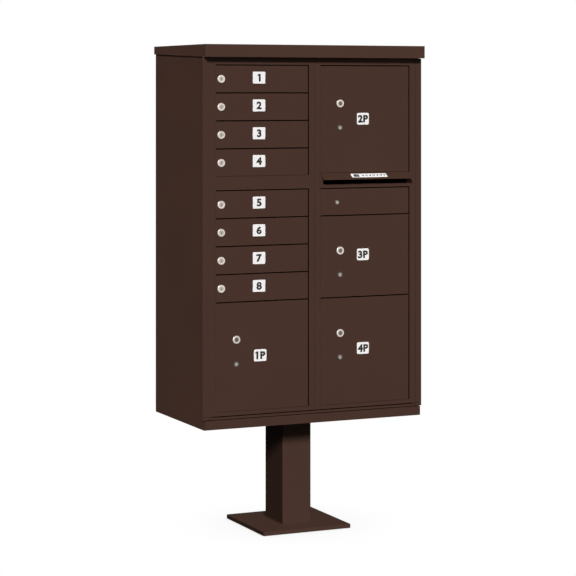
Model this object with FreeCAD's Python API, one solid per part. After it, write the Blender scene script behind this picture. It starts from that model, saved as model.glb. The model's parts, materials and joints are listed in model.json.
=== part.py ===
"""Cluster mailbox unit on a pedestal: a sheet-metal cabinet with two master doors.

Millimetres, +Z up, the doors face -Y. The origin is the centre of the whole unit's footprint,
at the underside of the base plate. Each piece goes to its own STEP file in parts/.
"""
import FreeCAD, Part
import math
import os
from collections import namedtuple

V = FreeCAD.Vector

# ---------------------------------------------------------------- driving dimensions
overall_width = 774.7
overall_depth = 457.2
overall_height = 1574.8
cabinet_bottom = 361.95

# cabinet sheet metal
shell_width = 765.2
sheet = 2.3
floor_sheet = 3.0
shelf_sheet = 1.5
partition_sheet = 2.4
shell_corner_r = 3.0
soft_edge = 0.6

# front sill, the groove above it, and the lip under the master doors
sill_top = 391.2
lip_bottom = 393.0
lip_top = 400.6
lip_end_gap = 0.6
lip_groove_depth = 2.0
ledge_depth = 24.0
lip_corner_x = 357.5
lip_corner_gap = 0.8
sill_side_gap = 1.2
seam_x = 366.0
seam_width = 1.2
seam_depth = 1.2
lip_seam_depth = 1.8

# roof hood
hood_overhang = 25.4
hood_skirt_bottom = 1534.4
hood_skirt_rear_bottom = 1549.0
hood_edge_radius = 2.2

# pedestal
pedestal_y = 6.0
base_plate_side = 310.0
base_plate_thick = 12.7
base_plate_corner = 3.0
post_width = 101.6
post_depth = 141.0
post_wall = 4.8
post_corner = 3.0
weld_leg = 3.0
weld_bite = 0.1
top_plate_side = 254.0
top_plate_thick = 8.0
anchor_spacing_x = 50.8
anchor_spacing_y = 76.2
anchor_hole_r = 7.0
flange_bolt_spacing = 200.0
flange_bolt_r = 6.0
flange_hole_r = 6.5
bolt_corner_r = 10.9
bolt_head_height = 7.5
bolt_tail = 15.0
washer_r = 12.0
washer_thick = 2.5
nut_height = 10.0

# master doors, and the openings in them
master_bottom = 403.6
master_top = 1533.4
master_seam = 0.5
master_face_depth = 4.6
master_depth = 6.6
stiffener_depth = 18.0
stiffener_sheet = 2.4
stiffener_hinge_gap = 10.3
stiffener_seam_gap = 4.0
stiffener_end_gap = 3.0
opening_outer_x = 343.3
opening_inner_x = 20.4
stop_overlap = 6.4
hinge_side_overlap = 9.0

# banks of small doors: each bank is a stack that starts at its top line
upper_bank_top = 1509.6
lower_bank_top = 1113.4
tenant_pitch = 88.2
upper_parcel_bottom = 1164.0
lower_bank_bottom = 416.8
door_gap = 3.4
tight_gap = 0.5
door_sheet = 2.0
door_edge_r = 0.7
door_rib_depth = 7.0
door_rib_inset = 9.0
door_rib_hinge_inset = 12.0
door_rib_sheet = 1.5

# hinges: the small doors turn on long rods, the master doors on pins at the front corners
rod_r = 1.0
rod_gap = 3.6
rod_depth = 2.6
door_tube_r = 1.5
running_gap = 0.05
fixed_gap = 0.02
rod_seat = 6.0
rod_end_play = 0.5
barrel_r = 4.75
barrel_skin = 1.25
wrap_corner_r = 1.0
moving_barrel_r = 4.6
fixed_barrel_r = 3.4
barrel_pin_r = 2.0
pin_top = 1545.0
barrel_bottom = 394.5
barrel_tie = 2.4
barrel_back_gap = 0.4
plate_hinge_gap = 5.3
knuckle_count = 7
knuckle_gap = 0.5
leaf_sheet = 1.5
leaf_depth = 29.0

# locks: depths are counted from the front plane, positive into the cabinet
cam_front = 8.0
cam_back = 10.0
cam_half_width = 6.0
cam_hub_r = 7.5
cam_screw_r = 4.0
cam_screw_back = 12.5
barrel_back = 7.6
nut_front = 2.1
nut_back = 4.3
keyway_half_width = 0.9
keyway_depth = 3.0
keyway_share = 0.55
bezel_round_share = 0.55
tenant_lock_inset = 18.1
parcel_lock_inset = 70.0
parcel_lock_step = 77.7
access_lock_inset = 59.2
access_lock_rise = -1.4
parcel_lock_drop = {"1P": 116.9, "2P": 120.8, "3P": 111.6, "4P": 113.4}

# outgoing mail slot and the open-ended sheet that shelters it
slot_left = 30.0
slot_right = 333.0
slot_bottom = 1126.5
slot_top = 1152.0
slot_hood_left = 20.8
slot_hood_right = 337.5
slot_hood_top = 1163.2
slot_hood_lip = 1144.1
slot_hood_bottom = 1141.7
slot_hood_sheet = 2.0
slot_hood_bend_r = 1.2

# latch bar that ties both master doors to the centre partition
latch_front = 9.5
latch_back = 12.1
latch_left = 2.0
latch_right = 52.0
latch_z = 1068.0
latch_half_height = 12.0
latch_travel = 16.0
latch_fit = 0.3
latch_stud_x = 11.0
latch_stud_r = 2.0
latch_stud_head_r = 3.5
latch_stud_head = 1.3
latch_stud_z = 6.0
latch_slot_play = 0.4
latch_grip_front = 3.5
latch_grip_sheet = 4.0
latch_grip_inset = 2.0
latch_grip_end_gap = 4.0
keeper_front = 7.2
keeper_half_height = 22.0
keeper_hole_gap = 2.0
latch_notch_depth = 20.0
latch_notch_gap = 4.0

shelf_front = 30.0
ceiling_rise = 6.0
deck_drop = 4.0

# how far a cutting block reaches past the metal it cuts
spare = 1.0

# ---------------------------------------------------------------- values that follow
front_y = -overall_depth / 2 + hood_overhang
back_y = overall_depth / 2
inner_back_y = back_y - sheet
half_width = overall_width / 2
shell_x = shell_width / 2
shell_inner_x = shell_x - sheet
shell_top = overall_height - sheet
barrel_x = shell_x
barrel_y = front_y + barrel_r
side_front_depth = 2 * barrel_r + barrel_back_gap
plate_left = -barrel_x + plate_hinge_gap

Lock = namedtuple("Lock", "bezel_r bezel_proud barrel_r plug_r plug_sink cam_length nut_r")
TENANT_LOCK = Lock(12.7, 2.4, 9.5, 7.0, 0.3, 20.0, 12.4)
CUSTOMER_LOCK = Lock(13.0, 2.4, 9.5, 7.5, 0.3, 74.0, 13.0)
CARRIER_LOCK = Lock(9.0, 0.8, 8.0, 5.5, 1.2, 26.0, 11.0)
ACCESS_LOCK = Lock(8.2, 1.2, 7.0, 5.0, 0.4, 40.0, 10.0)

DOWN = V(0, 0, -1)
UP = V(0, 0, 1)
RIGHT = V(1, 0, 0)

Door = namedtuple("Door", "name left rod_x bottom top")


# ---------------------------------------------------------------- shape helpers
def box(x0, x1, y0, y1, z0, z1):
    """A box from its lowest to its highest corner."""
    return Part.makeBox(x1 - x0, y1 - y0, z1 - z0, V(x0, y0, z0))


def slab(x0, x1, d0, d1, z0, z1):
    """A box whose depths are counted from the front plane."""
    return box(x0, x1, front_y + d0, front_y + d1, z0, z1)


def rounded(shape, radius, wanted):
    """A shape with some edges rounded; wanted looks at an edge's bounding box."""
    return shape.makeFillet(radius, [edge for edge in shape.Edges if wanted(edge.BoundBox)])


def in_front_plane(bounds):
    return bounds.YMax < front_y + 0.01


def soft_slab(x0, x1, d1, z0, z1, radius):
    """A slab from the front plane back, with its four front edges rounded."""
    return rounded(slab(x0, x1, 0, d1, z0, z1), radius, in_front_plane)


def along_y(radius, x, z, d0, d1):
    """A round bar that points into the cabinet."""
    return Part.makeCylinder(radius, d1 - d0, V(x, front_y + d0, z), V(0, 1, 0))


def along_z(radius, x, y, z0, z1):
    """A round upright bar."""
    return Part.makeCylinder(radius, z1 - z0, V(x, y, z0))


def prism(points, sweep):
    """A closed outline of points, swept along a vector."""
    return Part.Face(Part.makePolygon(points + points[:1])).extrude(sweep)


def hexagon(centre, corner_r, sweep, across):
    """A hexagonal prism; across and sweep are at right angles."""
    other = sweep.cross(across).normalize()
    points = []
    for corner in range(6):
        turn = math.radians(60 * corner)
        offset = across * (corner_r * math.cos(turn)) + other * (corner_r * math.sin(turn))
        points.append(centre + offset)
    return prism(points, sweep)


def joined(first, *others):
    """One solid from several that touch or overlap."""
    return first.fuse(list(others)).removeSplitter()


def mirrored(shape):
    """The same shape on the other side of the centre plane."""
    return shape.mirror(V(0, 0, 0), V(1, 0, 0))


def edge_wrap(inner_x, z0, z1):
    """A thin skin folded round the left front corner, back to the depth of the hinge axis."""
    outer_x = -barrel_x - barrel_r
    front = slab(outer_x, inner_x, 0, barrel_skin, z0, z1)
    side = slab(outer_x, outer_x + barrel_skin, 0, barrel_r, z0, z1)
    return rounded(joined(front, side), wrap_corner_r,
                   lambda bounds: in_front_plane(bounds) and bounds.XMax < outer_x + 0.01)


# ---------------------------------------------------------------- the layout of the small doors
def bank(side, top_line, rows):
    """Doors stacked from a top line down; rows are pairs of a name and a pitch."""
    left = -opening_outer_x if side == "left" else opening_inner_x
    right = -opening_inner_x if side == "left" else opening_outer_x
    doors = []
    line = top_line
    for name, pitch in rows:
        top = line - door_gap / 2
        line -= pitch
        doors.append(Door(name, left + tight_gap, right - rod_gap, line + door_gap / 2, top))
    return doors


def all_banks():
    """The four banks, each a list of doors from the top down."""
    low_line = lower_bank_bottom - door_gap / 2
    low_pitch = lower_bank_top - 4 * tenant_pitch - low_line
    high_pitch = upper_bank_top - upper_parcel_bottom + door_gap / 2
    lower_tenants = [(str(number), tenant_pitch) for number in range(5, 9)]
    return {
        "left": [
            bank("left", upper_bank_top, [(str(number), tenant_pitch) for number in range(1, 5)]),
            bank("left", lower_bank_top, lower_tenants + [("1P", low_pitch)]),
        ],
        "right": [
            bank("right", upper_bank_top, [("2P", high_pitch)]),
            bank("right", lower_bank_top,
                 [("access", tenant_pitch), ("3P", 3 * tenant_pitch), ("4P", low_pitch)]),
        ],
    }


def bank_opening(doors):
    """Left, right, bottom and top of the opening that a bank of doors fills."""
    first, last = doors[0], doors[-1]
    return (first.left - tight_gap, first.rod_x + rod_gap,
            last.bottom - tight_gap, first.top + door_gap)


# ---------------------------------------------------------------- pedestal
def base_plate():
    half = base_plate_side / 2
    plate = box(-half, half, pedestal_y - half, pedestal_y + half, 0, base_plate_thick)
    plate = rounded(plate, base_plate_corner, lambda bounds: bounds.ZLength > base_plate_thick / 2)
    plate = rounded(plate, soft_edge, lambda bounds: bounds.ZMin > base_plate_thick - 0.01)
    for sx in (-1, 1):
        for sy in (-1, 1):
            x = sx * anchor_spacing_x / 2
            y = pedestal_y + sy * anchor_spacing_y / 2
            plate = plate.cut(along_z(anchor_hole_r, x, y, 0, base_plate_thick))
    return plate


def post_outline(grow, z0, z1):
    """A rectangular bar with rounded corners, grown beyond the post's outside by grow."""
    half_w = post_width / 2 + grow
    half_d = post_depth / 2 + grow
    bar = box(-half_w, half_w, pedestal_y - half_d, pedestal_y + half_d, z0, z1)
    return rounded(bar, post_corner, lambda bounds: bounds.ZLength > (z1 - z0) / 2
                   and bounds.XLength < spare)


def pedestal_post():
    """A rectangular tube with a weld fillet where it stands on the base plate."""
    foot = base_plate_thick
    top = cabinet_bottom - top_plate_thick

    def corners(grow, z):
        half_w = post_width / 2 + grow
        half_d = post_depth / 2 + grow
        return [V(sx * half_w, pedestal_y + sy * half_d, z)
                for sx, sy in ((-1, -1), (1, -1), (1, 1), (-1, 1), (-1, -1))]

    low = Part.makePolygon(corners(weld_leg, foot))
    high = Part.makePolygon(corners(-weld_bite, foot + weld_leg))
    weld = Part.makeLoft([low, high], True, True)
    tube = joined(post_outline(0, foot, top), weld)
    return tube.cut(post_outline(-post_wall, foot - spare, top + spare))


def flange_bolt_places():
    half = flange_bolt_spacing / 2
    return [(sx * half, pedestal_y + sy * half) for sx in (-1, 1) for sy in (-1, 1)]


def pedestal_top_plate():
    """The plate that carries the cabinet, with a hand opening over the post."""
    half = top_plate_side / 2
    bottom = cabinet_bottom - top_plate_thick
    plate = box(-half, half, pedestal_y - half, pedestal_y + half, bottom, cabinet_bottom)
    for x, y in flange_bolt_places():
        plate = plate.cut(along_z(flange_hole_r, x, y, bottom - spare, cabinet_bottom + spare))
    return plate.cut(post_outline(-post_wall, bottom - spare, cabinet_bottom + spare))


def pedestal_bolts():
    """Four bolts with their washers and nuts, each a separate solid."""
    head_top = cabinet_bottom - top_plate_thick
    washer_z = cabinet_bottom + floor_sheet
    nut_z = washer_z + washer_thick
    nut_top = nut_z + nut_height
    solids = []
    for x, y in flange_bolt_places():
        head = hexagon(V(x, y, head_top - bolt_head_height), bolt_corner_r,
                       V(0, 0, bolt_head_height), RIGHT)
        shank = along_z(flange_bolt_r, x, y, head_top, nut_z + bolt_tail)
        hole = along_z(flange_bolt_r + running_gap, x, y, washer_z, nut_top + spare)
        washer = along_z(washer_r, x, y, washer_z, nut_z).cut(hole)
        nut = hexagon(V(x, y, nut_z), bolt_corner_r, V(0, 0, nut_height), RIGHT).cut(hole)
        solids += [joined(head, shank), washer, nut]
    return solids


# ---------------------------------------------------------------- cabinet
def cabinet_shell():
    """Both sides and the back, folded from one sheet."""
    side_front = front_y + side_front_depth
    side = box(-shell_x, -shell_inner_x, side_front, back_y, cabinet_bottom, shell_top)
    foot = box(-shell_x, -shell_inner_x, front_y, side_front, cabinet_bottom, sill_top)
    back = box(-shell_x, shell_x, inner_back_y, back_y, cabinet_bottom, shell_top)
    left = joined(side, foot)
    shell = joined(left, mirrored(left), back)
    return rounded(shell, shell_corner_r, lambda bounds: bounds.YMin > back_y - 0.01
                   and bounds.XLength < 0.01)


def floor_pan():
    """The floor, the sill that closes its front, and the lip under the master doors."""
    sill_x = shell_inner_x - sill_side_gap
    lip_x = barrel_x - barrel_r - lip_end_gap
    deck = box(-shell_inner_x, shell_inner_x, front_y + sheet, inner_back_y,
               cabinet_bottom, cabinet_bottom + floor_sheet)
    sill = soft_slab(-sill_x, sill_x, sheet, cabinet_bottom, sill_top, soft_edge)
    ledge = slab(-sill_x, sill_x, lip_groove_depth, ledge_depth, sill_top - sheet, sill_top)
    riser = slab(-lip_x, lip_x, lip_groove_depth, lip_groove_depth + sheet, sill_top - sheet, lip_top)
    lip = rounded(slab(-lip_x, lip_x, 0, sheet, lip_bottom, lip_top), soft_edge,
                  lambda bounds: in_front_plane(bounds) and bounds.XLength > lip_x)
    corner_top = master_bottom - lip_corner_gap
    corner = slab(lip_corner_x, lip_x, 0, sheet, lip_top - sheet, corner_top)
    wrap = edge_wrap(-lip_x, lip_bottom, corner_top)
    seam = slab(seam_x - seam_width / 2, seam_x + seam_width / 2, -spare, lip_seam_depth,
                lip_bottom - spare, master_bottom)
    pan = joined(deck, sill, ledge, riser, lip, corner, mirrored(corner), wrap, mirrored(wrap))
    pan = pan.cut([seam, mirrored(seam)])
    for x, y in flange_bolt_places():
        pan = pan.cut(along_z(flange_hole_r, x, y, cabinet_bottom - spare,
                              cabinet_bottom + floor_sheet + spare))
    return pan


def roof_hood():
    """A shallow lid that overhangs the doors; its side skirts rise towards the back."""
    front = -overall_depth / 2
    side = [V(-half_width, front, hood_skirt_bottom), V(-half_width, front, overall_height),
            V(-half_width, back_y, overall_height), V(-half_width, back_y, hood_skirt_rear_bottom)]
    block = prism(side, V(overall_width, 0, 0))
    block = rounded(block, hood_edge_radius, lambda bounds: bounds.YMax < front + 0.01
                    and bounds.ZMax > hood_skirt_bottom + spare)
    inside_x = half_width - sheet
    below = hood_skirt_bottom - sheet
    behind = box(-inside_x, inside_x, front_y + sheet, back_y + spare, below, shell_top)
    throat = box(-inside_x, inside_x, front + sheet, front_y,
                 hood_skirt_bottom + sheet, shell_top)
    beside = box(-inside_x, -shell_inner_x, front_y - spare, front_y + sheet + spare,
                 below, shell_top)
    return block.cut([behind, throat]).cut([beside, mirrored(beside)])


def centre_partition():
    """The wall between the columns, with a keeper that the latch bar goes through."""
    half = partition_sheet / 2
    wall = box(-half, half, front_y + shelf_front, inner_back_y,
               cabinet_bottom + floor_sheet, shell_top)
    keeper = slab(-half, half, keeper_front, shelf_front,
                  latch_z - keeper_half_height, latch_z + keeper_half_height)
    hole_half = latch_half_height + keeper_hole_gap
    hole = slab(-half - spare, half + spare, latch_front - latch_fit, latch_back + latch_fit,
                latch_z - hole_half, latch_z + hole_half)
    return joined(wall, keeper).cut(hole)


def shelf(side, top):
    """A plain shelf from the shell to the partition; top is the height of its upper face."""
    half = partition_sheet / 2
    plate = box(half, shell_inner_x, front_y + shelf_front, inner_back_y, top - shelf_sheet, top)
    return mirrored(plate) if side == "left" else plate


def compartment_shelves(banks):
    """The floors and ceilings of all compartments, each a separate solid."""
    solids = []
    for side in ("left", "right"):
        upper, lower = banks[side]
        heights = [door.bottom - door_gap / 2 for door in upper + lower[:-1]]
        heights += [upper_bank_top + ceiling_rise, lower_bank_bottom - deck_drop]
        if side == "left":
            heights.append(lower_bank_top + shelf_sheet)
        solids += [shelf(side, top) for top in heights]
    return solids


# ---------------------------------------------------------------- master door hinges
def knuckles(moving):
    """Start and end heights of the fixed or the moving knuckles of a barrel."""
    length = (master_top - barrel_bottom) / knuckle_count
    spans = []
    for index in range(knuckle_count):
        if (index % 2 == 1) == moving:
            start = barrel_bottom + index * length
            spans.append((start, start + length - knuckle_gap))
    return spans


def barrel_bar(radius, z0, z1):
    """A round bar on the left master door's hinge axis."""
    return along_z(radius, -barrel_x, barrel_y, z0, z1)


def barrel_bore():
    return barrel_bar(barrel_pin_r + running_gap, barrel_bottom - spare, master_top + spare)


def fixed_hinge_leaves():
    """A leaf inside each side panel; its knuckles stand inside the door's folded edge."""
    leaf_x = -shell_inner_x + running_gap
    leaf = slab(leaf_x, leaf_x + leaf_sheet, side_front_depth, leaf_depth,
                barrel_bottom, master_top)
    pieces = []
    for z0, z1 in knuckles(moving=False):
        pieces.append(barrel_bar(fixed_barrel_r, z0, z1))
        pieces.append(slab(leaf_x, leaf_x + leaf_sheet, barrel_r, side_front_depth + spare, z0, z1))
    left = joined(leaf, *pieces).cut(barrel_bore())
    return [left, mirrored(left)]


def master_hinge_pins():
    left = barrel_bar(barrel_pin_r, barrel_bottom + rod_end_play, pin_top)
    return [left, mirrored(left)]


# ---------------------------------------------------------------- master doors
def stop_window(door):
    """The hole through the stop flange behind a small door."""
    return slab(door.left + stop_overlap, door.rod_x - hinge_side_overlap,
                -spare, master_depth + spare,
                door.bottom + stop_overlap, door.top - stop_overlap)


def stiffener():
    """A flange that runs round the back of the left master door."""
    x0 = -barrel_x + stiffener_hinge_gap
    x1 = -stiffener_seam_gap
    z0 = master_bottom + stiffener_end_gap
    z1 = master_top - stiffener_end_gap
    outer = slab(x0, x1, master_depth, stiffener_depth, z0, z1)
    inner = slab(x0 + stiffener_sheet, x1 - stiffener_sheet,
                 master_depth - spare, stiffener_depth + spare,
                 z0 + stiffener_sheet, z1 - stiffener_sheet)
    notch_half = latch_half_height + latch_notch_gap
    notch = slab(-latch_notch_depth, 0, master_depth, stiffener_depth + spare,
                 latch_z - notch_half, latch_z + notch_half)
    return outer.cut([inner, notch])


def blank_master_door():
    """The left master door before any opening is cut: plate, hinge edge, knuckles, stiffener."""
    plate = slab(plate_left, -master_seam / 2, 0, master_depth, master_bottom, master_top)
    pieces = [stiffener(), edge_wrap(plate_left, master_bottom, master_top)]
    for z0, z1 in knuckles(moving=True):
        pieces.append(barrel_bar(moving_barrel_r, z0, z1))
        pieces.append(slab(-barrel_x, plate_left, 0, barrel_tie, z0, z1))
    return joined(plate, *pieces).cut(barrel_bore())


def cut_banks(blank, banks):
    """Cut the openings, the stop windows and the seats of the hinge rods."""
    cuts = []
    for doors in banks:
        left, right, bottom, top = bank_opening(doors)
        cuts.append(slab(left, right, -spare, master_face_depth, bottom, top))
        cuts.append(along_z(rod_r + fixed_gap, doors[0].rod_x, front_y + rod_depth,
                            bottom - rod_seat, top + rod_seat))
        cuts += [stop_window(door) for door in doors]
    return blank.cut(cuts)


def hinge_rods(banks):
    """One long rod for each bank of small doors."""
    rods = []
    for doors in banks:
        bottom, top = bank_opening(doors)[2:]
        rods.append(along_z(rod_r, doors[0].rod_x, front_y + rod_depth,
                            bottom - rod_seat + rod_end_play, top + rod_seat - rod_end_play))
    return rods


def right_master_door(banks):
    """The right door also has the mail slot, a face seam, and studs that guide the latch bar."""
    studs = []
    shank_end = latch_back + latch_fit
    for z in (latch_z - latch_stud_z, latch_z + latch_stud_z):
        studs.append(along_y(latch_stud_r, latch_stud_x, z, master_depth - spare, shank_end))
        studs.append(along_y(latch_stud_head_r, latch_stud_x, z,
                             shank_end, shank_end + latch_stud_head))
    blank = joined(mirrored(blank_master_door()), *studs)
    slot = slab(slot_left, slot_right, -spare, master_depth + spare, slot_bottom, slot_top)
    seam = slab(seam_x - seam_width / 2, seam_x + seam_width / 2, -spare, seam_depth,
                master_bottom - spare, master_top + spare)
    return cut_banks(blank, banks).cut([slot, seam])


def mail_slot_hood():
    """A bent sheet, open at both ends, that keeps rain out of the mail slot."""
    out = hood_overhang
    rise = slot_hood_top - slot_hood_lip
    under = slot_hood_sheet * math.hypot(out, rise) / out
    inner_out = out - slot_hood_sheet
    inner_lip = slot_hood_top - under - inner_out * rise / out
    outline = [(0, slot_hood_top), (-out, slot_hood_lip), (-out, slot_hood_bottom),
               (-inner_out, slot_hood_bottom), (-inner_out, inner_lip), (0, slot_hood_top - under)]
    points = [V(slot_hood_left, front_y + depth, z) for depth, z in outline]
    bent = prism(points, V(slot_hood_right - slot_hood_left, 0, 0))
    return rounded(bent, slot_hood_bend_r, lambda bounds: bounds.YMax < front_y - out + 0.01
                   and bounds.ZMin > slot_hood_lip - 0.01)


def master_latch():
    """A bar that slides left, through the keeper and behind the left master door."""
    z0 = latch_z - latch_half_height
    z1 = latch_z + latch_half_height
    bar = slab(latch_left, latch_right, latch_front, latch_back, z0, z1)
    grip_right = latch_right - latch_grip_inset
    grip = slab(grip_right - latch_grip_sheet, grip_right, latch_grip_front, latch_front + spare,
                z0 + latch_grip_end_gap, z1 - latch_grip_end_gap)
    bar = joined(bar, grip)
    slot_r = latch_stud_r + 2 * running_gap
    first = latch_stud_x - latch_slot_play
    last = latch_stud_x + latch_travel + latch_slot_play
    for z in (latch_z - latch_stud_z, latch_z + latch_stud_z):
        ends = [along_y(slot_r, x, z, latch_front - spare, latch_back + spare)
                for x in (first, last)]
        middle = slab(first, last, latch_front - spare, latch_back + spare, z - slot_r, z + slot_r)
        bar = bar.cut([middle] + ends)
    return bar


# ---------------------------------------------------------------- small doors and their locks
def lock_places(door):
    """Each lock of a door as a tuple of kind, x and z."""
    middle = (door.bottom + door.top) / 2
    if door.name == "access":
        return [(ACCESS_LOCK, door.left + access_lock_inset, middle + access_lock_rise)]
    if door.name in parcel_lock_drop:
        x = door.left + parcel_lock_inset
        z = door.top - parcel_lock_drop[door.name]
        return [(CUSTOMER_LOCK, x, z), (CARRIER_LOCK, x, z - parcel_lock_step)]
    return [(TENANT_LOCK, door.left + tenant_lock_inset, middle)]


def door_leaf(door):
    """A flush sheet with two ribs behind it and a hinge tube along its right edge."""
    leaf = soft_slab(door.left, door.rod_x, door_sheet, door.bottom, door.top, door_edge_r)
    tube = along_z(door_tube_r, door.rod_x, front_y + rod_depth, door.bottom, door.top)
    ribs = []
    for z in (door.bottom + door_rib_inset, door.top - door_rib_inset - door_rib_sheet):
        ribs.append(slab(door.left + door_rib_inset, door.rod_x - door_rib_hinge_inset,
                         door_sheet, door_rib_depth, z, z + door_rib_sheet))
    leaf = joined(leaf, tube, *ribs)
    cuts = [along_z(rod_r + running_gap, door.rod_x, front_y + rod_depth,
                    door.bottom - spare, door.top + spare)]
    for lock, x, z in lock_places(door):
        cuts.append(along_y(lock.barrel_r + fixed_gap, x, z, -spare, door_sheet + spare))
    return leaf.cut(cuts)


def lock_body(lock, x, z):
    """A bezel and barrel in one, and the nut that holds them to the door."""
    bezel = along_y(lock.bezel_r, x, z, -lock.bezel_proud, 0)
    face_y = front_y - lock.bezel_proud
    bezel = rounded(bezel, lock.bezel_proud * bezel_round_share,
                    lambda bounds: bounds.YMax < face_y + 0.01)
    barrel = along_y(lock.barrel_r, x, z, 0, barrel_back)
    bore = along_y(lock.plug_r + running_gap, x, z, -lock.bezel_proud - spare, barrel_back + spare)
    nut = hexagon(V(x, front_y + nut_front, z), lock.nut_r, V(0, nut_back - nut_front, 0), RIGHT)
    thread = along_y(lock.barrel_r + fixed_gap, x, z, nut_front - spare, nut_back + spare)
    return [joined(bezel, barrel).cut(bore), nut.cut(thread)]


def lock_plug(lock, x, z, points_to):
    """The turning plug with its keyway, its cam and the screw that holds the cam."""
    face = -lock.bezel_proud + lock.plug_sink
    plug = along_y(lock.plug_r, x, z, face, cam_front)
    hub = along_y(cam_hub_r, x, z, cam_front, cam_back)
    reach = lock.cam_length - cam_half_width
    tip_x = x + points_to.x * reach
    tip_z = z + points_to.z * reach
    tip = along_y(cam_half_width, tip_x, tip_z, cam_front, cam_back)
    pad_x = cam_half_width * abs(points_to.z)
    pad_z = cam_half_width * abs(points_to.x)
    arm = slab(min(x, tip_x) - pad_x, max(x, tip_x) + pad_x, cam_front, cam_back,
               min(z, tip_z) - pad_z, max(z, tip_z) + pad_z)
    screw = along_y(cam_screw_r, x, z, cam_back, cam_screw_back)
    keyway_half = lock.plug_r * keyway_share
    keyway = slab(x - keyway_half_width, x + keyway_half_width, face - spare, face + keyway_depth,
                  z - keyway_half, z + keyway_half)
    return joined(plug, hub, tip, arm, screw).cut(keyway)


def lock_nodes(door):
    """The lock bodies of a door and each of its plugs, by node name."""
    places = lock_places(door)
    bodies = [solid for lock, x, z in places for solid in lock_body(lock, x, z)]
    if door.name == "access":
        return {"access_lock": bodies, "access_plug": lock_plug(*places[0], RIGHT)}
    if door.name in parcel_lock_drop:
        return {
            f"parcel_locks_{door.name}": bodies,
            f"customer_plug_{door.name}": lock_plug(*places[0], UP),
            f"carrier_plug_{door.name}": lock_plug(*places[1], DOWN),
        }
    return {f"tenant_lock_{door.name}": bodies,
            f"tenant_plug_{door.name}": lock_plug(*places[0], DOWN)}


def door_node_name(door):
    if door.name == "access":
        return "access_door"
    kind = "parcel" if door.name in parcel_lock_drop else "tenant"
    return f"{kind}_door_{door.name}"


# ---------------------------------------------------------------- the whole unit
def build():
    banks = all_banks()
    nodes = {
        "base_plate": base_plate(),
        "pedestal_post": pedestal_post(),
        "pedestal_top_plate": pedestal_top_plate(),
        "pedestal_bolts": pedestal_bolts(),
        "cabinet_shell": cabinet_shell(),
        "floor_pan": floor_pan(),
        "roof_hood": roof_hood(),
        "centre_partition": centre_partition(),
        "compartment_shelves": compartment_shelves(banks),
        "fixed_hinge_leaves": fixed_hinge_leaves(),
        "master_hinge_pins": master_hinge_pins(),
        "left_master_door": cut_banks(blank_master_door(), banks["left"]),
        "left_hinge_rods": hinge_rods(banks["left"]),
        "right_master_door": right_master_door(banks["right"]),
        "right_hinge_rods": hinge_rods(banks["right"]),
        "mail_slot_hood": mail_slot_hood(),
        "master_latch": master_latch(),
    }
    for side in ("left", "right"):
        for doors in banks[side]:
            for door in doors:
                nodes[door_node_name(door)] = door_leaf(door)
                nodes.update(lock_nodes(door))
    return nodes


def main():
    os.makedirs("parts", exist_ok=True)
    for name, shape in build().items():
        whole = Part.makeCompound(shape) if isinstance(shape, list) else shape
        whole.exportStep(f"parts/{name}.step")


main()
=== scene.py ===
"""Looks of the cluster mailbox unit: finishes, number plates, near-black strips of painted shade in
the gaps, and the studio around it.
"""
import bmesh
import bpy
import json
import math
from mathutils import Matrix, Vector

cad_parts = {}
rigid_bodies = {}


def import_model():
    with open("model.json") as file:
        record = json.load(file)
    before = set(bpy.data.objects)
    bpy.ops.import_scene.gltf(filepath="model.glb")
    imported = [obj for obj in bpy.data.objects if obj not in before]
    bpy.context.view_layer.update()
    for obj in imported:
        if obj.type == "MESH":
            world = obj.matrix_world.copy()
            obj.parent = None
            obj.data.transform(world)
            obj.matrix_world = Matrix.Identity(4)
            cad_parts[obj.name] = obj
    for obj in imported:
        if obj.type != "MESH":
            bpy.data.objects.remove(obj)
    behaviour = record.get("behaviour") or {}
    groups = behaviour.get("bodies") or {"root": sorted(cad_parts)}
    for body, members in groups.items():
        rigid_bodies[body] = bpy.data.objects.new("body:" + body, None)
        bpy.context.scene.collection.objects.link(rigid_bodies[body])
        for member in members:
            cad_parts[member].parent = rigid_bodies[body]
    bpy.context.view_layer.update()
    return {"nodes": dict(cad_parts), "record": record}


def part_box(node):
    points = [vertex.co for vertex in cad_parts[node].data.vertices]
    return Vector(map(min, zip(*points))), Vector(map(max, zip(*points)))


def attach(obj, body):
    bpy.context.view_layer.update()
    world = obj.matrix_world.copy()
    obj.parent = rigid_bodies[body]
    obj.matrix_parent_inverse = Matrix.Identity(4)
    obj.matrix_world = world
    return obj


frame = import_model()

MM = 0.001
TENANTS = [str(number) for number in range(1, 9)]
PARCELS = ["1P", "2P", "3P", "4P"]
FRONT_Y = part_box("left_master_door")[0].y

# ---------------------------------------------------------------- node helpers


def add(tree, kind, settings=None, **values):
    """A shader node. Values are numbers, colours or sockets; _ in a name stands for a space."""
    made = tree.nodes.new(kind)
    for key, value in (settings or {}).items():
        setattr(made, key, value)
    for key, value in values.items():
        socket = made.inputs[int(key[1:])] if key[1:].isdigit() else made.inputs[key.replace("_", " ")]
        if isinstance(value, bpy.types.NodeSocket):
            tree.links.new(value, socket)
        else:
            socket.default_value = value
    return made


def new_material(name):
    """An empty node material, its output node, and its Object texture coordinates."""
    material = bpy.data.materials.new(name)
    material.use_nodes = True
    tree = material.node_tree
    tree.nodes.clear()
    output = tree.nodes.new("ShaderNodeOutputMaterial")
    coords = tree.nodes.new("ShaderNodeTexCoord").outputs["Object"]
    return material, tree, output, coords


def noise(tree, coords, scale, detail=2.0, roughness=0.5):
    """A cloudy value round 0.5; a higher scale is finer."""
    made = add(tree, "ShaderNodeTexNoise", Vector=coords, Scale=scale, Detail=detail,
               Roughness=roughness)
    return made.outputs["Fac"]


def remap(tree, value, low, high, to_low, to_high):
    """A value stretched from low..high to to_low..to_high, and held inside it."""
    made = add(tree, "ShaderNodeMapRange", Value=value, From_Min=low, From_Max=high,
               To_Min=to_low, To_Max=to_high)
    return made.outputs["Result"]


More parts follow.
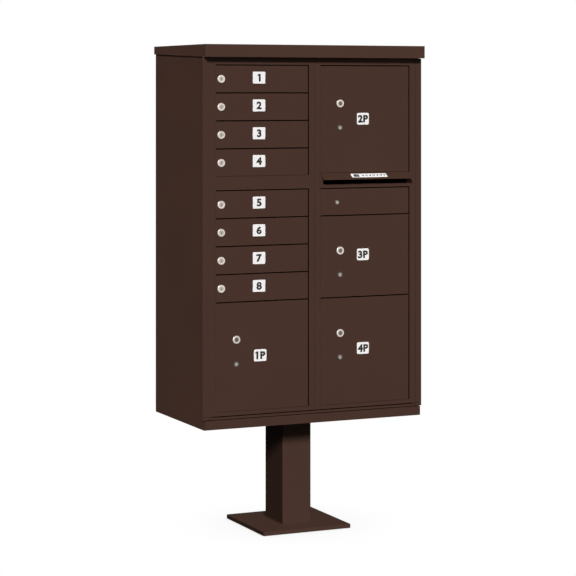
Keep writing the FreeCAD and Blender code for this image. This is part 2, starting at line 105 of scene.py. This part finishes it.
def scaled_colour(tree, colour, factor):
    """A colour made lighter or darker by a value."""
    made = add(tree, "ShaderNodeVectorMath", {"operation": "SCALE"}, _0=colour[:3], Scale=factor)
    return made.outputs["Vector"]


def mixed(tree, factor, first, second):
    """The first colour where the factor is 0, the second where it is 1."""
    made = add(tree, "ShaderNodeMix", {"data_type": "RGBA"}, _0=factor, _6=first, _7=second)
    return made.outputs[2]


def edge_mask(tree, radius, gain):
    """1 on sharp edges and corners, 0 on flats."""
    soft = add(tree, "ShaderNodeBevel", {"samples": 4}, Radius=radius).outputs["Normal"]
    flat = add(tree, "ShaderNodeNewGeometry").outputs["Normal"]
    dot = add(tree, "ShaderNodeVectorMath", {"operation": "DOT_PRODUCT"}, _0=soft, _1=flat)
    return remap(tree, dot.outputs["Value"], 1.0, 1.0 - 1.0 / gain, 0.0, 1.0)


def bumped(tree, height, strength, distance):
    """A surface normal that follows a height value."""
    made = add(tree, "ShaderNodeBump", Strength=strength, Distance=distance, Height=height)
    return made.outputs["Normal"]


def principled(tree, output, **values):
    """Ends a material with one Principled shader."""
    shader = add(tree, "ShaderNodeBsdfPrincipled", **values)
    tree.links.new(shader.outputs[0], output.inputs["Surface"])


# ---------------------------------------------------------------- materials

COAT_SPECULAR = 0.1
# painted shade: the colour factor on sharp edges and gap rims
EDGE_SHADE = 0.5
EDGE_RADIUS = 0.6 * MM
EDGE_GAIN = 9.0


def powder_coat(name, colour, roughness=0.5):
    """Matt powder coat: fine orange peel, faint mottling, painted shade darkening sharp edges."""
    material, tree, output, coords = new_material(name)
    peel = noise(tree, coords, scale=900.0, detail=2.0, roughness=0.6)
    grain = noise(tree, coords, scale=2400.0, detail=1.0)
    cloud = noise(tree, coords, scale=3.0, detail=4.0, roughness=0.6)
    tone = add(tree, "ShaderNodeMath", {"operation": "MULTIPLY"},
               _0=remap(tree, cloud, 0.3, 0.7, 0.965, 1.035),
               _1=remap(tree, grain, 0.3, 0.7, 0.95, 1.05)).outputs[0]
    base = scaled_colour(tree, colour, tone)
    # painted shade: sharp edges and gap rims get half the colour, darkening the gap lines
    edge_shaded = scaled_colour(tree, [channel * EDGE_SHADE for channel in colour], tone)
    principled(tree, output, Specular_IOR_Level=COAT_SPECULAR,
               Base_Color=mixed(tree, edge_mask(tree, EDGE_RADIUS, EDGE_GAIN), base, edge_shaded),
               Roughness=remap(tree, cloud, 0.25, 0.75, roughness - 0.05, roughness + 0.06),
               Normal=bumped(tree, peel, strength=0.22, distance=0.06 * MM))
    return material


def drawn_metal(name, colour, roughness, stretch=(1.0, 1.0, 1.0), scale=700.0, depth=0.02,
                lower_colour=None, metallic=1.0):
    """Bare metal with fine drawing lines along stretch; the lower half may be another colour."""
    material, tree, output, coords = new_material(name)
    lined = add(tree, "ShaderNodeVectorMath", {"operation": "MULTIPLY"}, _0=coords, _1=stretch)
    lines = noise(tree, lined.outputs["Vector"], scale, detail=3.0, roughness=0.65)
    smear = noise(tree, coords, scale=9.0, detail=3.0, roughness=0.6)
    tone = remap(tree, smear, 0.3, 0.7, 0.9, 1.06)
    base = scaled_colour(tree, colour, tone)
    if lower_colour:
        place = add(tree, "ShaderNodeTexCoord").outputs["Generated"]
        height = add(tree, "ShaderNodeSeparateXYZ", Vector=place).outputs["Z"]
        upper = remap(tree, height, 0.45, 0.55, 0.0, 1.0)
        base = mixed(tree, upper, scaled_colour(tree, lower_colour, tone), base)
    principled(tree, output, Base_Color=base, Metallic=metallic,
               Roughness=remap(tree, lines, 0.25, 0.75, roughness - 0.06, roughness + 0.08),
               Normal=bumped(tree, lines, strength=0.3, distance=depth * MM))
    return material


def zinc_plate(name):
    """Zinc plating: a spangled grey with a faint warm tint."""
    material, tree, output, coords = new_material(name)
    spangle = add(tree, "ShaderNodeTexVoronoi", Vector=coords, Scale=420.0).outputs["Distance"]
    tint = mixed(tree, remap(tree, spangle, 0.0, 0.9, 0.0, 1.0),
                 (0.52, 0.52, 0.50, 1.0), (0.40, 0.40, 0.41, 1.0))
    principled(tree, output, Base_Color=tint, Metallic=1.0,
               Roughness=remap(tree, spangle, 0.0, 0.9, 0.3, 0.46))
    return material


def rubber(name, colour):
    """A matt filler with a fine grain; near-black, it carries the painted shade in the gaps."""
    material, tree, output, coords = new_material(name)
    grain = noise(tree, coords, scale=1500.0, detail=2.0, roughness=0.7)
    base = scaled_colour(tree, colour, remap(tree, grain, 0.3, 0.7, 0.8, 1.2))
    principled(tree, output, Base_Color=base, Roughness=0.95, Specular_IOR_Level=0.0,
               Normal=bumped(tree, grain, strength=0.3, distance=0.08 * MM))
    return material


def label_film(name, colour, roughness=0.35):
    """Printed plastic film: almost flat, with a faint mottle."""
    material, tree, output, coords = new_material(name)
    cloud = noise(tree, coords, scale=160.0, detail=3.0, roughness=0.6)
    base = scaled_colour(tree, colour, remap(tree, cloud, 0.3, 0.7, 0.97, 1.02))
    principled(tree, output, Base_Color=base, Roughness=roughness, Specular_IOR_Level=0.4,
               Normal=bumped(tree, cloud, strength=0.1, distance=0.03 * MM))
    return material


BRONZE = (0.0615, 0.0312, 0.0222)
BRIGHT_CHROME = (0.86, 0.81, 0.76)
# painted light: the roof gets the same bronze made 12% lighter, standing in for the sheen of light on
# the roof
ROOF_PAINTED_LIGHT = 1.12
CABINET_COAT = powder_coat("cabinet_coat", BRONZE)
DOOR_COAT = powder_coat("door_coat", BRONZE)
PEDESTAL_COAT = powder_coat("pedestal_coat", BRONZE, 0.55)
ROOF_LIT_COAT = powder_coat("roof_lit_coat", [channel * ROOF_PAINTED_LIGHT for channel in BRONZE])
INNER_SHEET = drawn_metal("inner_sheet", (0.30, 0.30, 0.31), 0.5, (1.0, 0.02, 1.0), metallic=0.4)
CHROME = drawn_metal("lock_chrome", BRIGHT_CHROME, 0.5, scale=1600.0, depth=0.01)
PARCEL_CHROME = drawn_metal("parcel_chrome", BRIGHT_CHROME, 0.5, scale=1600.0, depth=0.01,
                            lower_colour=(0.14, 0.13, 0.12))
DULL_STEEL = drawn_metal("dull_steel", (0.13, 0.12, 0.11), 0.45, scale=1600.0)
PLUG_STEEL = drawn_metal("plug_steel", (0.55, 0.51, 0.47), 0.4, scale=2200.0)
DARK_PLUG = drawn_metal("dark_plug", (0.24, 0.22, 0.20), 0.4, scale=2200.0)
DARK_ROD = drawn_metal("dark_rod", (0.05, 0.045, 0.04), 0.6, (1.0, 1.0, 0.05))
ZINC = zinc_plate("zinc")
# painted shade: a near-black matt fill that makes the door gaps and the sill groove render dark
GAP_SHADE_FILL = rubber("gap_shade_fill", (0.0012, 0.0009, 0.0009))
PLATE_FILM = label_film("number_plate", (0.98, 0.965, 0.955))
INK = label_film("ink", (0.008, 0.008, 0.008), 0.5)

NODE_FINISH = {
    "cabinet_powder_coat": CABINET_COAT,
    "door_powder_coat": DOOR_COAT,
    "pedestal_powder_coat": PEDESTAL_COAT,
    "inner_sheet": INNER_SHEET,
    "lock_chrome": CHROME,
    "lock_dark": DULL_STEEL,
    "plug_metal": PLUG_STEEL,
    "zinc_steel": ZINC,
}
OWN_FINISH = {
    "roof_hood": ROOF_LIT_COAT,
    "left_hinge_rods": DARK_ROD,
    "right_hinge_rods": DARK_ROD,
    "access_lock": DULL_STEEL,
}
OWN_FINISH.update({f"parcel_locks_{label}": PARCEL_CHROME for label in PARCELS})
OWN_FINISH.update({f"customer_plug_{label}": DARK_PLUG for label in PARCELS})


def finish_cad_nodes():
    """Give each CAD node its own finish, or else the finish of its material slot."""
    for part in frame["record"]["subparts"]:
        node = frame["nodes"][part["node"]]
        finish = OWN_FINISH.get(part["node"], NODE_FINISH[part["material_slot"]])
        node.data.materials.clear()
        node.data.materials.append(finish)


# ---------------------------------------------------------------- mesh helpers


def piece(name, mesh_maker, material, body):
    """A new piece from a function that fills a bmesh; it rides on a body."""
    mesh = bpy.data.meshes.new(name)
    shape = bmesh.new()
    mesh_maker(shape)
    bmesh.ops.recalc_face_normals(shape, faces=shape.faces)
    shape.to_mesh(mesh)
    shape.free()
    mesh.materials.append(material)
    made = bpy.data.objects.new(name, mesh)
    bpy.context.scene.collection.objects.link(made)
    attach(made, body)


def rounded_outline(width, height, radius, steps=6):
    """Corner points of a rounded rectangle round the origin, as pairs of x and z."""
    points = []
    for quarter, (sx, sz) in enumerate(((1, 1), (-1, 1), (-1, -1), (1, -1))):
        cx = sx * (width / 2 - radius)
        cz = sz * (height / 2 - radius)
        for step in range(steps + 1):
            turn = math.pi / 2 * (quarter + step / steps)
            points.append((cx + radius * math.cos(turn), cz + radius * math.sin(turn)))
    return points


def raised_outline(shape, outline, place, low, high, soften):
    """A plate with this outline between two lifts, its outer rim softened.

    place turns an x, a z and a lift into a point in the frame.
    """
    rings = []
    middle = [sum(point[axis] for point in outline) / len(outline) for axis in (0, 1)]
    reach = max(math.hypot(x - middle[0], z - middle[1]) for x, z in outline)
    for lift, inset in ((low, 0.0), (high - soften, 0.0), (high, soften)):
        shrink = 1.0 - inset / reach
        rings.append([shape.verts.new(place(middle[0] + (x - middle[0]) * shrink,
                                            middle[1] + (z - middle[1]) * shrink, lift))
                      for x, z in outline])
    count = len(outline)
    for lower, upper in zip(rings, rings[1:]):
        for index in range(count):
            after = (index + 1) % count
            shape.faces.new((lower[index], lower[after], upper[after], upper[index]))
    shape.faces.new(rings[-1])
    shape.faces.new(rings[0][::-1])


def upright(centre_x, centre_z):
    """Places outlines on the front plane of the doors; a lift points out of the doors."""
    return lambda x, z, lift: (centre_x + x, FRONT_Y - lift, centre_z + z)


# ---------------------------------------------------------------- number plates

PLATE_WIDTH = 43 * MM
PLATE_HEIGHT = 38 * MM
PLATE_THICKNESS = 0.7 * MM
PLATE_SOFTEN = 0.2 * MM
PLATE_CORNER = 3 * MM
PARCEL_PLATE_CORNER = 5 * MM
DIGIT_SIZE = 31.5 * MM
DIGIT_BOLD = 1.35 * MM
DIGIT_STRETCH = 1.12
PARCEL_BOLD = 1.5 * MM
PARCEL_SPACING = 1.07
PARCEL_STRETCH = 1.06
DIGIT_THICKNESS = 0.08 * MM
DIGIT_LIFT = 0.02 * MM
INK_SOFTEN = 0.01 * MM
ONE_STEM_LEFT = 0.202 * DIGIT_SIZE
ONE_TOP = 0.682 * DIGIT_SIZE
ONE_FLAG = ((-0.17, -0.20), (-0.17, -0.12), (-0.04, 0.0), (0.02, 0.0), (0.02, -0.20))
TENANT_PLATE_X = 147.8 * MM
TENANT_PLATE_RISE = 4.4 * MM
PARCEL_PLATE_X = 151.8 * MM
PARCEL_PLATE_DROP = {"1P": 170.0 * MM, "2P": 170.4 * MM, "3P": 126.4 * MM, "4P": 165.8 * MM}


def text_mesh(text):
    """The outlines of a text as a thin mesh that faces -Y, centred on the origin."""
    bold, stretch, spacing = DIGIT_BOLD, DIGIT_STRETCH, 1.0
    if text in PARCELS:
        bold, stretch, spacing = PARCEL_BOLD, PARCEL_STRETCH, PARCEL_SPACING
    curve = bpy.data.curves.new("text", "FONT")
    curve.body = text
    curve.size = DIGIT_SIZE
    curve.offset = bold
    curve.space_character = spacing
    curve.extrude = DIGIT_THICKNESS
    curve.resolution_u = 6
    holder = bpy.data.objects.new("text", curve)
    bpy.context.scene.collection.objects.link(holder)
    bpy.context.view_layer.update()
    evaluated = holder.evaluated_get(bpy.context.evaluated_depsgraph_get())
    mesh = bpy.data.meshes.new_from_object(evaluated)
    bpy.data.objects.remove(holder)
    shape = bmesh.new()
    shape.from_mesh(mesh)
    if text.startswith("1"):  # the font's 1 is a bare stem
        flag = [(ONE_STEM_LEFT + x * DIGIT_SIZE, ONE_TOP + bold + z * DIGIT_SIZE)
                for x, z in ONE_FLAG]
        raised_outline(shape, flag, lambda x, z, lift: (x, z, lift),
                       -DIGIT_THICKNESS, DIGIT_THICKNESS, INK_SOFTEN)
    lows = [min(vertex.co[axis] for vertex in shape.verts) for axis in (0, 1)]
    highs = [max(vertex.co[axis] for vertex in shape.verts) for axis in (0, 1)]
    for vertex in shape.verts:
        x = (vertex.co.x - (lows[0] + highs[0]) / 2) * stretch
        z = vertex.co.y - (lows[1] + highs[1]) / 2
        vertex.co = (x, -vertex.co.z, z)
    shape.to_mesh(mesh)
    shape.free()
    return mesh


def number_plate(label, body, centre_x, centre_z):
    """A rounded white plate with its number, on a small door."""
    corner = PARCEL_PLATE_CORNER if label in PARCELS else PLATE_CORNER
    outline = rounded_outline(PLATE_WIDTH, PLATE_HEIGHT, corner)

    def plate(shape):
        raised_outline(shape, outline, upright(centre_x, centre_z), 0.0, PLATE_THICKNESS,
                       PLATE_SOFTEN)

    piece(f"number_plate_{label}", plate, PLATE_FILM, body)
    digits = bpy.data.objects.new(f"number_{label}", text_mesh(label))
    bpy.context.scene.collection.objects.link(digits)
    digits.data.materials.append(INK)
    digits.location = (centre_x, FRONT_Y - PLATE_THICKNESS - DIGIT_LIFT, centre_z)
    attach(digits, body)


def number_plates():
    """One plate on each tenant and parcel door; the access door has none."""
    for label in TENANTS:
        low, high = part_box(f"tenant_door_{label}")
        number_plate(label, f"tenant_{label}", low.x + TENANT_PLATE_X,
                     (low.z + high.z) / 2 + TENANT_PLATE_RISE)
    for label in PARCELS:
        low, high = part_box(f"parcel_door_{label}")
        number_plate(label, f"parcel_{label}", low.x + PARCEL_PLATE_X,
                     high.z - PARCEL_PLATE_DROP[label])


# ---------------------------------------------------------------- painted shade strips in the door gaps

# the strips below are not real parts; they are near-black painted shade in the door gaps and the sill
# groove
DOOR_GAP = 3.4 * MM
SHADE_STRIP_CLEARANCE = 0.1 * MM
SHADE_STRIP_SOFTEN = 0.15 * MM
SHADE_STRIP_BACK = 4.55 * MM
SHADE_STRIP_FACE = 0.65 * MM
ROD_INSET = 1.5 * MM
ROD_CROSSING = (-2.0 * MM, 3.55 * MM)
ROD_CROSSING_BACK = 1.5 * MM
SIDE_FOOT = (1.75 * MM, 3.05 * MM)
SIDE_FOOT_FACE = 3.8 * MM
SIDE_LIP = (3.05 * MM, 3.58 * MM)
SIDE_LIP_FACE = 0.7 * MM
SILL_FACE = 0.8 * MM
SILL_STRIP_REACH = 356 * MM
SILL_STRIP_DROP = (2.95 * MM, 0.3 * MM)
SILL_STRIP_BACK = 4.0 * MM
GROOVE_SHADE_REACH = 377 * MM
GROOVE_SHADE_DROP = (12.35 * MM, 10.65 * MM)
GROOVE_SHADE_BACK = 1.9 * MM


def seal_strip(shape, x0, x1, z0, z1, depth_back, depth_front):
    """One near-black strip of painted shade with a softened face, between two depths behind the front
    plane.
    """
    width = x1 - x0
    height = z1 - z0
    outline = rounded_outline(width, height, 0.3 * min(width, height), 3)
    raised_outline(shape, outline, upright((x0 + x1) / 2, (z0 + z1) / 2),
                   -depth_back, -depth_front, SHADE_STRIP_SOFTEN)


def door_seals(side, doors):
    """Near-black strips of painted shade in the gaps above and to the right of each small door, on the
    stop flange.

    The upper strip is thin where it crosses the hinge rod; the right one is a foot with a lip.
    """
    def strips(shape):
        for door in doors:
            low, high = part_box(door)
            rod_x = high.x - ROD_INSET
            z0 = high.z + SHADE_STRIP_CLEARANCE
            z1 = high.z + DOOR_GAP - SHADE_STRIP_CLEARANCE
            crossing = rod_x + ROD_CROSSING[0]
            seal_strip(shape, low.x, crossing, z0, z1, SHADE_STRIP_BACK, SHADE_STRIP_FACE)
            seal_strip(shape, crossing, rod_x + ROD_CROSSING[1], z0, z1,
                       ROD_CROSSING_BACK, SHADE_STRIP_FACE)
            for (left, right), face in ((SIDE_FOOT, SIDE_FOOT_FACE), (SIDE_LIP, SIDE_LIP_FACE)):
                seal_strip(shape, rod_x + left, rod_x + right, low.z, high.z, SHADE_STRIP_BACK, face)

    piece(f"{side}_door_seals", strips, GAP_SHADE_FILL, f"{side}_master")


def sill_seal():
    """Painted shade: a near-black strip on the lip under the master doors, and one in the groove below
    it.
    """
    doors_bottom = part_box("left_master_door")[0].z

    def strips(shape):
        for reach, (bottom, top), back in (
                (SILL_STRIP_REACH, SILL_STRIP_DROP, SILL_STRIP_BACK),
                (GROOVE_SHADE_REACH, GROOVE_SHADE_DROP, GROOVE_SHADE_BACK)):
            seal_strip(shape, -reach, reach, doors_bottom - bottom, doors_bottom - top,
                       back, SILL_FACE)

    piece("sill_seal", strips, GAP_SHADE_FILL, "cabinet")


# ---------------------------------------------------------------- label on the slot hood

HOOD_LIP_DROP = 19.1 * MM
LABEL_WIDTH = 128 * MM
LABEL_HEIGHT = 18.7 * MM
LABEL_CORNER = 1.5 * MM
LABEL_SOFTEN = 0.08 * MM
LABEL_X = 189 * MM
LABEL_LIFT = 0.25 * MM
INK_LIFT = 0.31 * MM
FLAP_LIFT = 0.36 * MM
ENVELOPE_X = -46 * MM
ENVELOPE_WIDTH = 20 * MM
ENVELOPE_HEIGHT = 12 * MM
CHEVRON_COUNT = 7
CHEVRON_FIRST_X = -22 * MM
CHEVRON_STEP = 13 * MM


def vee(centre_x, half_width, arm, top, notch, tip):
    """The outline of a V with flat arm ends; all but the centre are in millimetres."""
    half = ((-half_width, top), (arm - half_width, top), (0.0, notch))
    points = half + tuple((-x, z) for x, z in half[1::-1]) + ((0.0, tip),)
    return [(centre_x + x * MM, z * MM) for x, z in points]


def hood_label():
    """A white label with an envelope and chevrons that point down into the slot."""
    low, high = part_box("mail_slot_hood")
    top = Vector((LABEL_X, high.y, high.z))
    lip = Vector((LABEL_X, low.y, high.z - HOOD_LIP_DROP))
    middle = (top + lip) / 2
    uphill = (top - lip).normalized()
    outwards = Vector((1, 0, 0)).cross(uphill)

    def on_slope(x, z, lift):
        return middle + Vector((x, 0, 0)) + uphill * z + outwards * lift

    def film(shape):
        raised_outline(shape, rounded_outline(LABEL_WIDTH, LABEL_HEIGHT, LABEL_CORNER), on_slope,
                       0.0, LABEL_LIFT, LABEL_SOFTEN)
        flap = vee(ENVELOPE_X, half_width=9.0, arm=1.6, top=4.6, notch=-0.6, tip=-1.9)
        raised_outline(shape, flap, on_slope, INK_LIFT, FLAP_LIFT, INK_SOFTEN)

    def ink(shape):
        envelope = [(x + ENVELOPE_X, z) for x, z
                    in rounded_outline(ENVELOPE_WIDTH, ENVELOPE_HEIGHT, 1 * MM, 2)]
        raised_outline(shape, envelope, on_slope, LABEL_LIFT, INK_LIFT, INK_SOFTEN)
        for column in range(CHEVRON_COUNT):
            chevron = vee(CHEVRON_FIRST_X + CHEVRON_STEP * column,
                          half_width=5.06, arm=2.86, top=3.9, notch=0.3, tip=-4.35)
            raised_outline(shape, chevron, on_slope, LABEL_LIFT, INK_LIFT, INK_SOFTEN)

    piece("hood_label", film, PLATE_FILM, "right_master")
    piece("hood_label_ink", ink, INK, "right_master")


# ---------------------------------------------------------------- studio

CAMERA_HOME = (-2.80826, -6.20953, 1.42838)
CAMERA_TURN = 0.42999
CAMERA_LENS = 128.975
CAMERA_SHIFT = (-0.01996, -0.34249)
WORLD_FILL = 0.045
CARD_RADIUS = 9.0
CARD_HEIGHTS = (-2.0, 4.0)
CARD_TURNS = (-75.0, 55.0)
CARD_COLUMNS = 16
FLOOR_REACH = 40.0
FLOOR_DROP = 0.2 * MM
WHITE = (1.0, 1.0, 1.0, 1.0)
PEDESTAL = ("base_plate", "pedestal_post", "pedestal_top_plate", "pedestal_bolts")


def read_camera_place(driver, holder, axes):
    """Gives a scripted driver one variable for each of these axes: the camera's place on it."""
    driver.type = "SCRIPTED"
    for axis in axes:
        variable = driver.variables.new()
        variable.name = axis
        variable.type = "TRANSFORMS"
        variable.targets[0].id = holder
        variable.targets[0].transform_type = f"LOC_{axis.upper()}"
        variable.targets[0].transform_space = "WORLD_SPACE"


def camera():
    """A level camera with its lens shifted down; the shift acts only at its home place."""
    data = bpy.data.cameras.new("camera")
    data.lens = CAMERA_LENS
    data.sensor_width = 36.0
    data.clip_end = 100.0
    holder = bpy.data.objects.new("camera", data)
    bpy.context.scene.collection.objects.link(holder)
    holder.location = CAMERA_HOME
    holder.rotation_euler = (math.pi / 2, 0.0, -CAMERA_TURN)
    near_home = " + ".join(f"abs({axis} - {place})" for axis, place in zip("xyz", CAMERA_HOME))
    near_home = near_home.replace("- -", "+ ")
    for path, shift in zip(("shift_x", "shift_y"), CAMERA_SHIFT):
        driver = data.driver_add(path).driver
        read_camera_place(driver, holder, "xyz")
        driver.expression = f"{shift} if {near_home} < 0.01 else 0.0"
    bpy.context.scene.camera = holder


def light_rig():
    """An empty that turns about +Z with the camera, so every view is lit like the home view."""
    rig = bpy.data.objects.new("light_rig", None)
    bpy.context.scene.collection.objects.link(rig)
    home = math.atan2(CAMERA_HOME[0], -CAMERA_HOME[1])
    driver = rig.driver_add("rotation_euler", 2).driver
    read_camera_place(driver, bpy.context.scene.camera, "xy")
    driver.expression = f"atan2(x, -y) - ({home})"
    return rig


def sun(rig, name, azimuth, elevation, strength, spread, colour=(1.0, 1.0, 1.0)):
    """A soft distant light. Azimuth 0 shines on the doors; a positive one comes from the left."""
    data = bpy.data.lights.new(name, "SUN")
    data.color = colour
    data.energy = strength
    data.angle = math.radians(spread)
    holder = bpy.data.objects.new(name, data)
    bpy.context.scene.collection.objects.link(holder)
    turn = math.radians(azimuth)
    rise = math.radians(elevation)
    towards = Vector((-math.sin(turn) * math.cos(rise), -math.cos(turn) * math.cos(rise),
                      math.sin(rise)))
    holder.rotation_euler = towards.to_track_quat("Z", "Y").to_euler()
    holder.parent = rig
    return holder


def only_light(light, wanted):
    """Lets a light reach only the objects whose names are wanted; returns their collection."""
    lit = bpy.data.collections.new(f"{light.name}_receivers")
    for thing in bpy.context.scene.objects:
        if thing.type == "MESH" and wanted(thing.name):
            lit.objects.link(thing)
    light.light_linking.receiver_collection = lit
    return lit


def glossy_card(rig):
    """A wide curved white card behind the camera that shows only in reflections."""
    first, last = CARD_TURNS
    points = []
    for column in range(CARD_COLUMNS + 1):
        turn = math.radians(first + (last - first) * column / CARD_COLUMNS)
        for z in CARD_HEIGHTS:
            points.append((-CARD_RADIUS * math.sin(turn), -CARD_RADIUS * math.cos(turn), z))
    faces = [(2 * column, 2 * column + 1, 2 * column + 3, 2 * column + 2)
             for column in range(CARD_COLUMNS)]
    mesh = bpy.data.meshes.new("card")
    mesh.from_pydata(points, [], faces)
    card = bpy.data.objects.new("card", mesh)
    bpy.context.scene.collection.objects.link(card)
    card.parent = rig
    card.visible_camera = False
    card.visible_diffuse = False
    card.visible_shadow = False
    material, tree, output, _ = new_material("card")
    glow = add(tree, "ShaderNodeEmission", Color=(1.0, 0.97, 0.94, 1.0), Strength=1.0)
    tree.links.new(glow.outputs[0], output.inputs["Surface"])
    material.cycles.emission_sampling = "NONE"
    mesh.materials.append(material)


def camera_only(tree, seen, otherwise):
    """One shader for what the camera sees directly, another for all other light."""
    rays = add(tree, "ShaderNodeLightPath").outputs["Is Camera Ray"]
    return add(tree, "ShaderNodeMixShader", _0=rays, _1=otherwise, _2=seen).outputs[0]


def world():
    """White to the camera, a dim warm grey to everything else."""
    made = bpy.data.worlds.new("studio")
    bpy.context.scene.world = made
    made.use_nodes = True
    tree = made.node_tree
    tree.nodes.clear()
    seen = add(tree, "ShaderNodeBackground", Color=WHITE, Strength=1.0)
    fill = add(tree, "ShaderNodeBackground", Color=(1.0, 0.98, 0.96, 1.0), Strength=WORLD_FILL)
    output = tree.nodes.new("ShaderNodeOutputWorld")
    tree.links.new(camera_only(tree, seen.outputs[0], fill.outputs[0]), output.inputs["Surface"])


def floor():
    """A pale studio floor that shows only a soft shadow close to the base plate."""
    mesh = bpy.data.meshes.new("floor")
    corners = [(x * FLOOR_REACH, y * FLOOR_REACH, 0.0)
               for x, y in ((-1, -1), (1, -1), (1, 1), (-1, 1))]
    mesh.from_pydata(corners, [], [(0, 1, 2, 3)])
    made = bpy.data.objects.new("floor", mesh)
    bpy.context.scene.collection.objects.link(made)
    made.location.z = -FLOOR_DROP
    made.visible_glossy = False
    material, tree, output, coords = new_material("floor")
    near = add(tree, "ShaderNodeAmbientOcclusion", {"samples": 8}, Distance=0.35).outputs["AO"]
    shade = remap(tree, near, 0.35, 1.0, 0.78, 1.0)
    seen = add(tree, "ShaderNodeEmission", Color=WHITE, Strength=shade)
    cloth = remap(tree, noise(tree, coords, 2.0), 0.3, 0.7, 0.02, 0.03)
    bounce = add(tree, "ShaderNodeBsdfDiffuse", Color=cloth)
    surface = camera_only(tree, seen.outputs[0], bounce.outputs[0])
    tree.links.new(surface, output.inputs["Surface"])
    mesh.materials.append(material)


def studio():
    """Backdrop, floor, camera and lights; the pedestal has lights of its own."""
    bpy.context.scene.view_settings.view_transform = "Standard"
    world()
    floor()
    camera()
    rig = light_rig()
    cabinet_key = sun(rig, "cabinet_key", azimuth=34.0, elevation=28.1, strength=3.74,
                      spread=10.0)
    only_light(cabinet_key, lambda name: name not in PEDESTAL)
    left_bounce = sun(rig, "left_bounce", azimuth=85.0, elevation=-12.0, strength=0.75,
                      spread=50.0, colour=(1.0, 0.72, 0.72))
    only_light(left_bounce, lambda name: name not in PEDESTAL)
    pedestal_key = sun(rig, "pedestal_key", azimuth=15.0, elevation=28.1, strength=3.3,
                       spread=12.0)
    only_light(pedestal_key, lambda name: name in PEDESTAL)
    plate_top = sun(rig, "plate_top", azimuth=15.0, elevation=80.0, strength=1.0, spread=20.0)
    base_plate = only_light(plate_top, lambda name: name == "base_plate")
    plate_top.light_linking.blocker_collection = base_plate
    glossy_card(rig)


# ---------------------------------------------------------------- the scene

finish_cad_nodes()
number_plates()
door_seals("left", [f"tenant_door_{label}" for label in TENANTS] + ["parcel_door_1P"])
door_seals("right", ["parcel_door_2P", "access_door", "parcel_door_3P", "parcel_door_4P"])
sill_seal()
hood_label()
studio()
